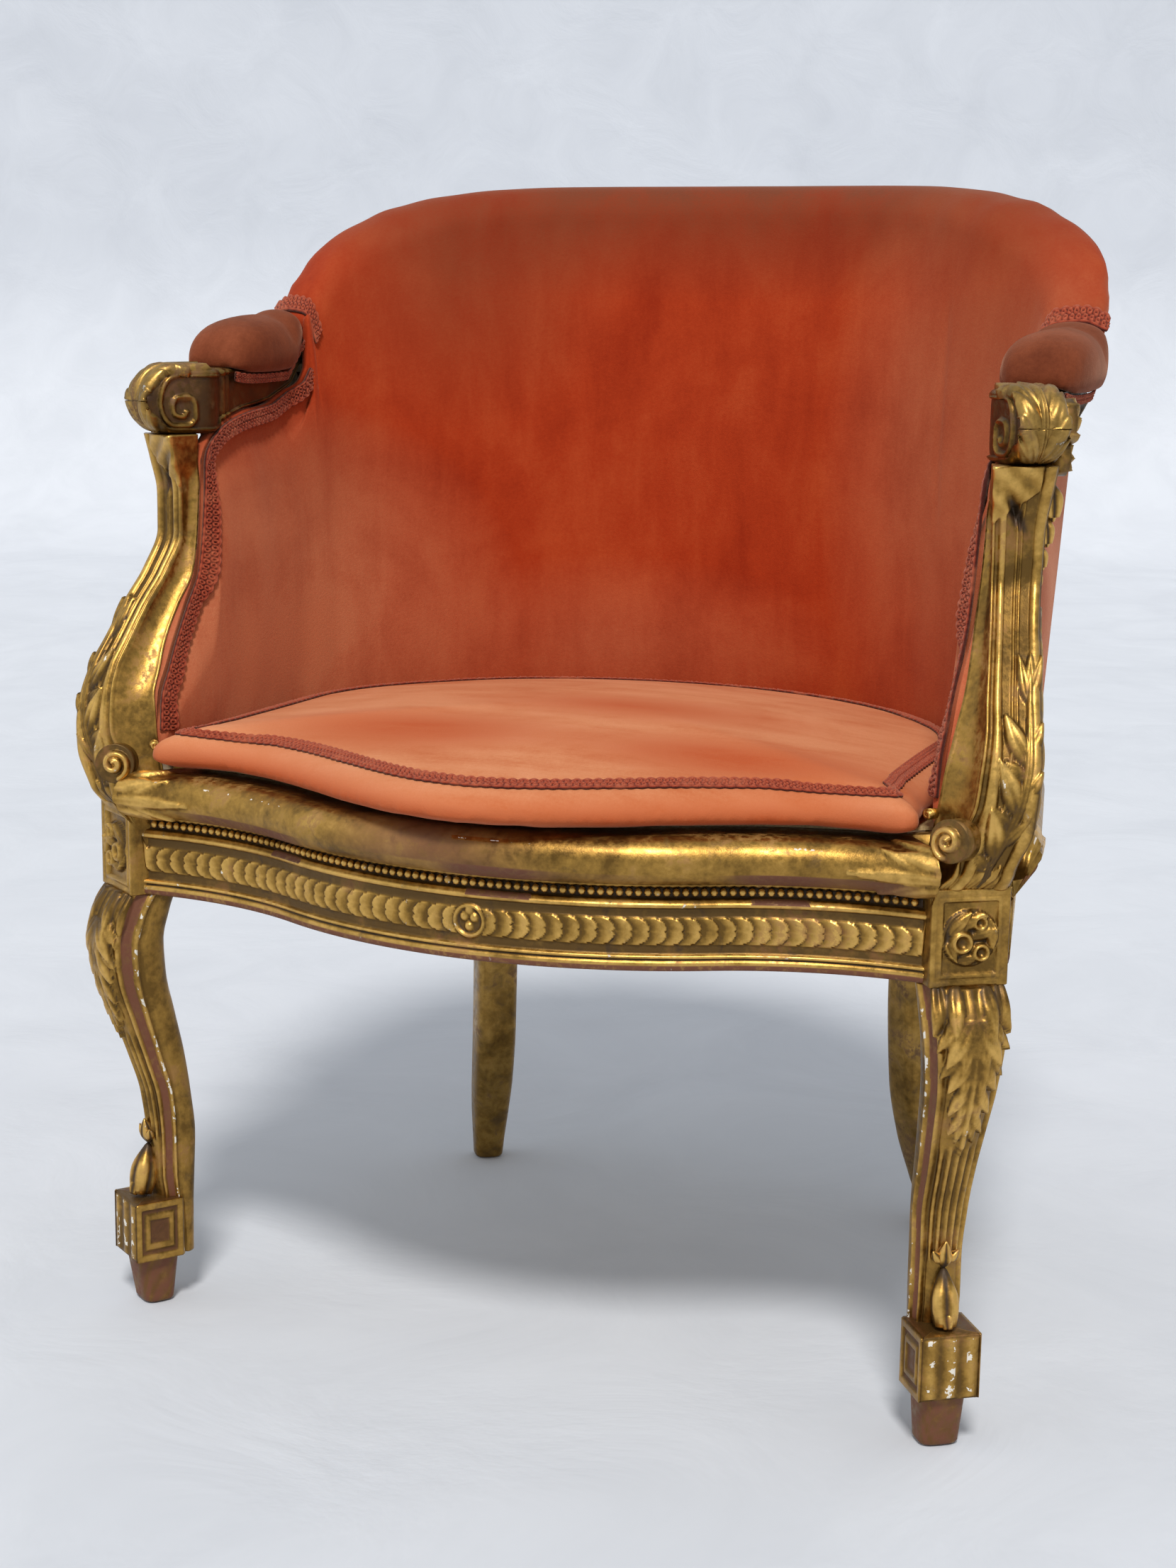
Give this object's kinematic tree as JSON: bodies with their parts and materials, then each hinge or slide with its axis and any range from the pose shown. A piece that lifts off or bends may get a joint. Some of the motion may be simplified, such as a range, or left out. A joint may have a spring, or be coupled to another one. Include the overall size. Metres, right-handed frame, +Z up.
{
  "type": "low tub armchair with loose squab",
  "caption": "Low tub armchair on carved gilt cabriole legs, with a velvet-padded wraparound back, padded arms and a loose velvet squab over a cane seat.",
  "frame": {"origin": "on the floor, under the middle of the chair's bounding box", "axes": "+Z up, the chair faces -Y, +X to the right as seen from the front"},
  "size_m": [0.6672, 0.5613, 0.7885],
  "materials": {
    "gilt_wood": "carved wood with worn gold leaf over red-brown bole",
    "beech": "plain sawn beech",
    "velvet": "cut velvet, burnt orange, worn in places",
    "squab_velvet": "cut velvet, faded orange with a flattened pile",
    "braid": "looped rust gimp braid",
    "webbing": "jute webbing and hessian",
    "cane": "woven cane",
    "screw_steel": "dull steel"
  },
  "bodies": {
    "chair": {"front_rail": "gilt_wood", "back_rail": "gilt_wood", "left_side_rail": "gilt_wood", "right_side_rail": "gilt_wood", "left_front_leg": "gilt_wood", "right_front_leg": "gilt_wood", "left_back_leg": "gilt_wood", "right_back_leg": "gilt_wood", "left_arm_support": "gilt_wood", "right_arm_support": "gilt_wood", "left_arm": "gilt_wood", "right_arm": "gilt_wood", "left_husk_drop": "gilt_wood", "right_husk_drop": "gilt_wood", "crest_rail": "beech", "lower_back_rail": "beech", "back_webbing": "webbing", "back_padding": "velvet", "outside_back_cover": "velvet", "outside_back_gimp": "braid", "left_back_gimp": "braid", "right_back_gimp": "braid", "left_arm_pad": "velvet", "right_arm_pad": "velvet", "left_arm_pad_gimp": "braid", "right_arm_pad_gimp": "braid", "cane_seat": "cane", "corner_braces": "beech", "brace_screws": "screw_steel", "joint_pegs": "beech"},
    "squab": {"squab": "squab_velvet", "squab_gimp": "braid"}
  },
  "joints": [
    {"name": "squab_lift", "type": "slide", "parent": "chair", "child": "squab", "axis": [0, 0, 1], "range_m": [0, 0.45]}
  ]
}
